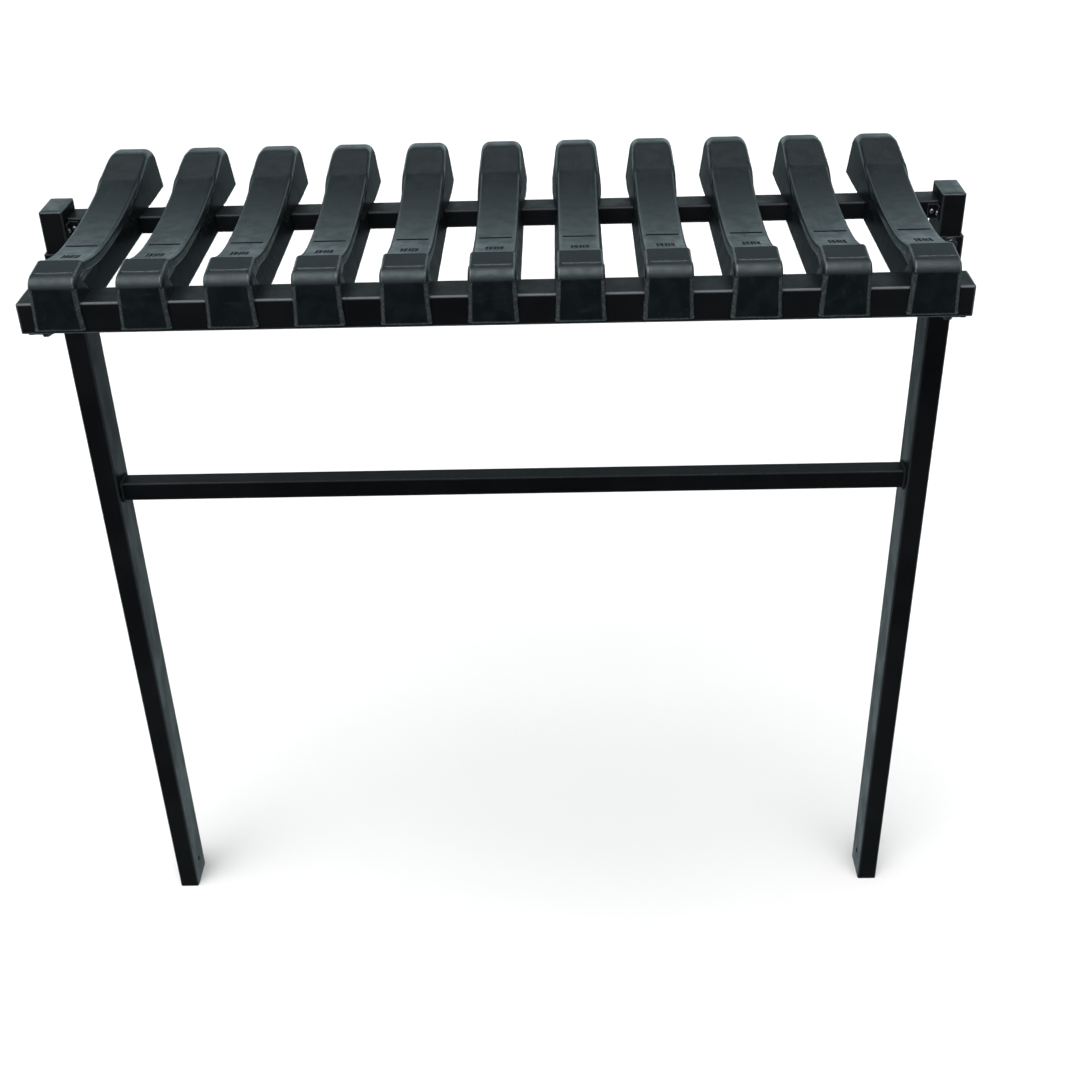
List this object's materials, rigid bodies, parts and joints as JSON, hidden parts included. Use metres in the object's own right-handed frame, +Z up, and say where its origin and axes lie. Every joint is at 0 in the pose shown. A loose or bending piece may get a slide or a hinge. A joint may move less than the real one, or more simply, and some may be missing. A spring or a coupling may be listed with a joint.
{
  "type": "slatted rack frame",
  "caption": "Black steel rack frame with two posts, three cross tubes and a row of moulded saddles laid over two rails, open neck slots between them.",
  "frame": {"origin": "centre of the plan box, at the level of the undersides of the two posts", "axes": "+X along the rails to the right as seen from the front, +Y from the front caps towards the heads at the back, +Z up"},
  "size_m": [1.26, 0.44, 1.3075],
  "materials": {
    "black_steel": "satin black powder coat",
    "moulded_black": "satin black moulded plastic with a fine grain",
    "cap_plastic": "satin black moulded plastic",
    "bright_zinc": "bright zinc plate",
    "dark_zinc": "black zinc plate"
  },
  "bodies": {
    "root": {"post_left": "black_steel", "post_right": "black_steel", "post_cap_left": "cap_plastic", "post_cap_right": "cap_plastic", "crossbar": "black_steel", "crossbar_welds": "black_steel", "rear_rail": "black_steel", "rear_rail_bracket_left": "black_steel", "rear_rail_bracket_right": "black_steel", "rear_bracket_screws": "bright_zinc", "front_rail": "black_steel", "front_rail_cap_left": "cap_plastic", "front_rail_cap_right": "cap_plastic", "side_bracket_left": "black_steel", "side_bracket_right": "black_steel", "bracket_bolts": "dark_zinc", "bracket_washers": "dark_zinc", "bracket_nuts": "dark_zinc", "seat_bolts": "dark_zinc", "saddle_screws_front": "dark_zinc", "saddle_screws_rear": "dark_zinc", "saddle_01": "moulded_black", "saddle_02": "moulded_black", "saddle_03": "moulded_black", "saddle_04": "moulded_black", "saddle_05": "moulded_black", "saddle_06": "moulded_black", "saddle_07": "moulded_black", "saddle_08": "moulded_black", "saddle_09": "moulded_black", "saddle_10": "moulded_black", "saddle_11": "moulded_black"}
  },
  "joints": []
}
